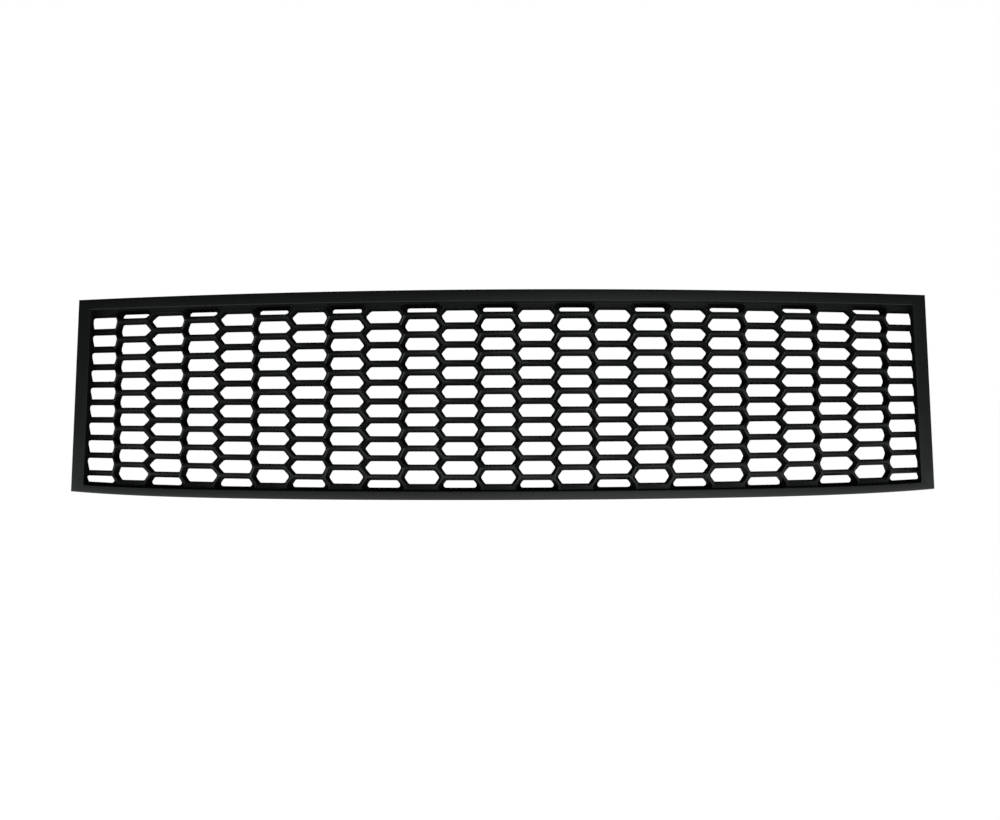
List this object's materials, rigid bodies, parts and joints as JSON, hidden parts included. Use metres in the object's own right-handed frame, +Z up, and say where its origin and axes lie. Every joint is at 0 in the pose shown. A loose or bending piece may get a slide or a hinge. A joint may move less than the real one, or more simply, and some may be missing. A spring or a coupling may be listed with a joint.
{
  "type": "front grille",
  "caption": "Bowed rectangular front grille: a moulded surround frame that holds a honeycomb air-inlet mesh, with rear fixing tabs, push-in retainers and clip nuts.",
  "frame": {"origin": "middle of the whole grille's bounding box", "axes": "+X across the car, +Z up; the front faces -Y and the bowed ends sweep back to +Y"},
  "size_m": [0.7538, 0.104, 0.1768],
  "materials": {
    "frame_plastic": "satin black injection-moulded plastic with a fine grain",
    "mesh_plastic": "satin black injection-moulded plastic with a fine grain",
    "retainer_nylon": "black nylon",
    "pin_nylon": "black nylon, slightly lighter",
    "screw_steel": "black zinc-plated steel",
    "spring_steel": "zinc-flake coated spring steel"
  },
  "bodies": {
    "grille": {"surround_frame": "frame_plastic", "honeycomb_mesh": "mesh_plastic", "mesh_screw_01": "screw_steel", "mesh_screw_02": "screw_steel", "mesh_screw_03": "screw_steel", "mesh_screw_04": "screw_steel", "mesh_screw_05": "screw_steel", "mesh_screw_06": "screw_steel", "mesh_screw_07": "screw_steel", "mesh_screw_08": "screw_steel", "mesh_screw_09": "screw_steel", "mesh_screw_10": "screw_steel", "top_rivet_body_1": "retainer_nylon", "top_rivet_body_2": "retainer_nylon", "top_rivet_body_3": "retainer_nylon", "top_rivet_body_4": "retainer_nylon", "top_rivet_body_5": "retainer_nylon", "lower_clip_nut_1": "spring_steel", "lower_clip_nut_2": "spring_steel", "lower_clip_nut_3": "spring_steel", "lower_clip_nut_4": "spring_steel"},
    "pin_1": {"top_rivet_pin_1": "pin_nylon"},
    "pin_2": {"top_rivet_pin_2": "pin_nylon"},
    "pin_3": {"top_rivet_pin_3": "pin_nylon"},
    "pin_4": {"top_rivet_pin_4": "pin_nylon"},
    "pin_5": {"top_rivet_pin_5": "pin_nylon"}
  },
  "joints": [
    {"name": "pin_1_slide", "type": "slide", "parent": "grille", "child": "pin_1", "axis": [0, 0, 1], "range_m": [0, 0.006]},
    {"name": "pin_2_slide", "type": "slide", "parent": "grille", "child": "pin_2", "axis": [0, 0, 1], "range_m": [0, 0.006]},
    {"name": "pin_3_slide", "type": "slide", "parent": "grille", "child": "pin_3", "axis": [0, 0, 1], "range_m": [0, 0.006]},
    {"name": "pin_4_slide", "type": "slide", "parent": "grille", "child": "pin_4", "axis": [0, 0, 1], "range_m": [0, 0.006]},
    {"name": "pin_5_slide", "type": "slide", "parent": "grille", "child": "pin_5", "axis": [0, 0, 1], "range_m": [0, 0.006]}
  ]
}
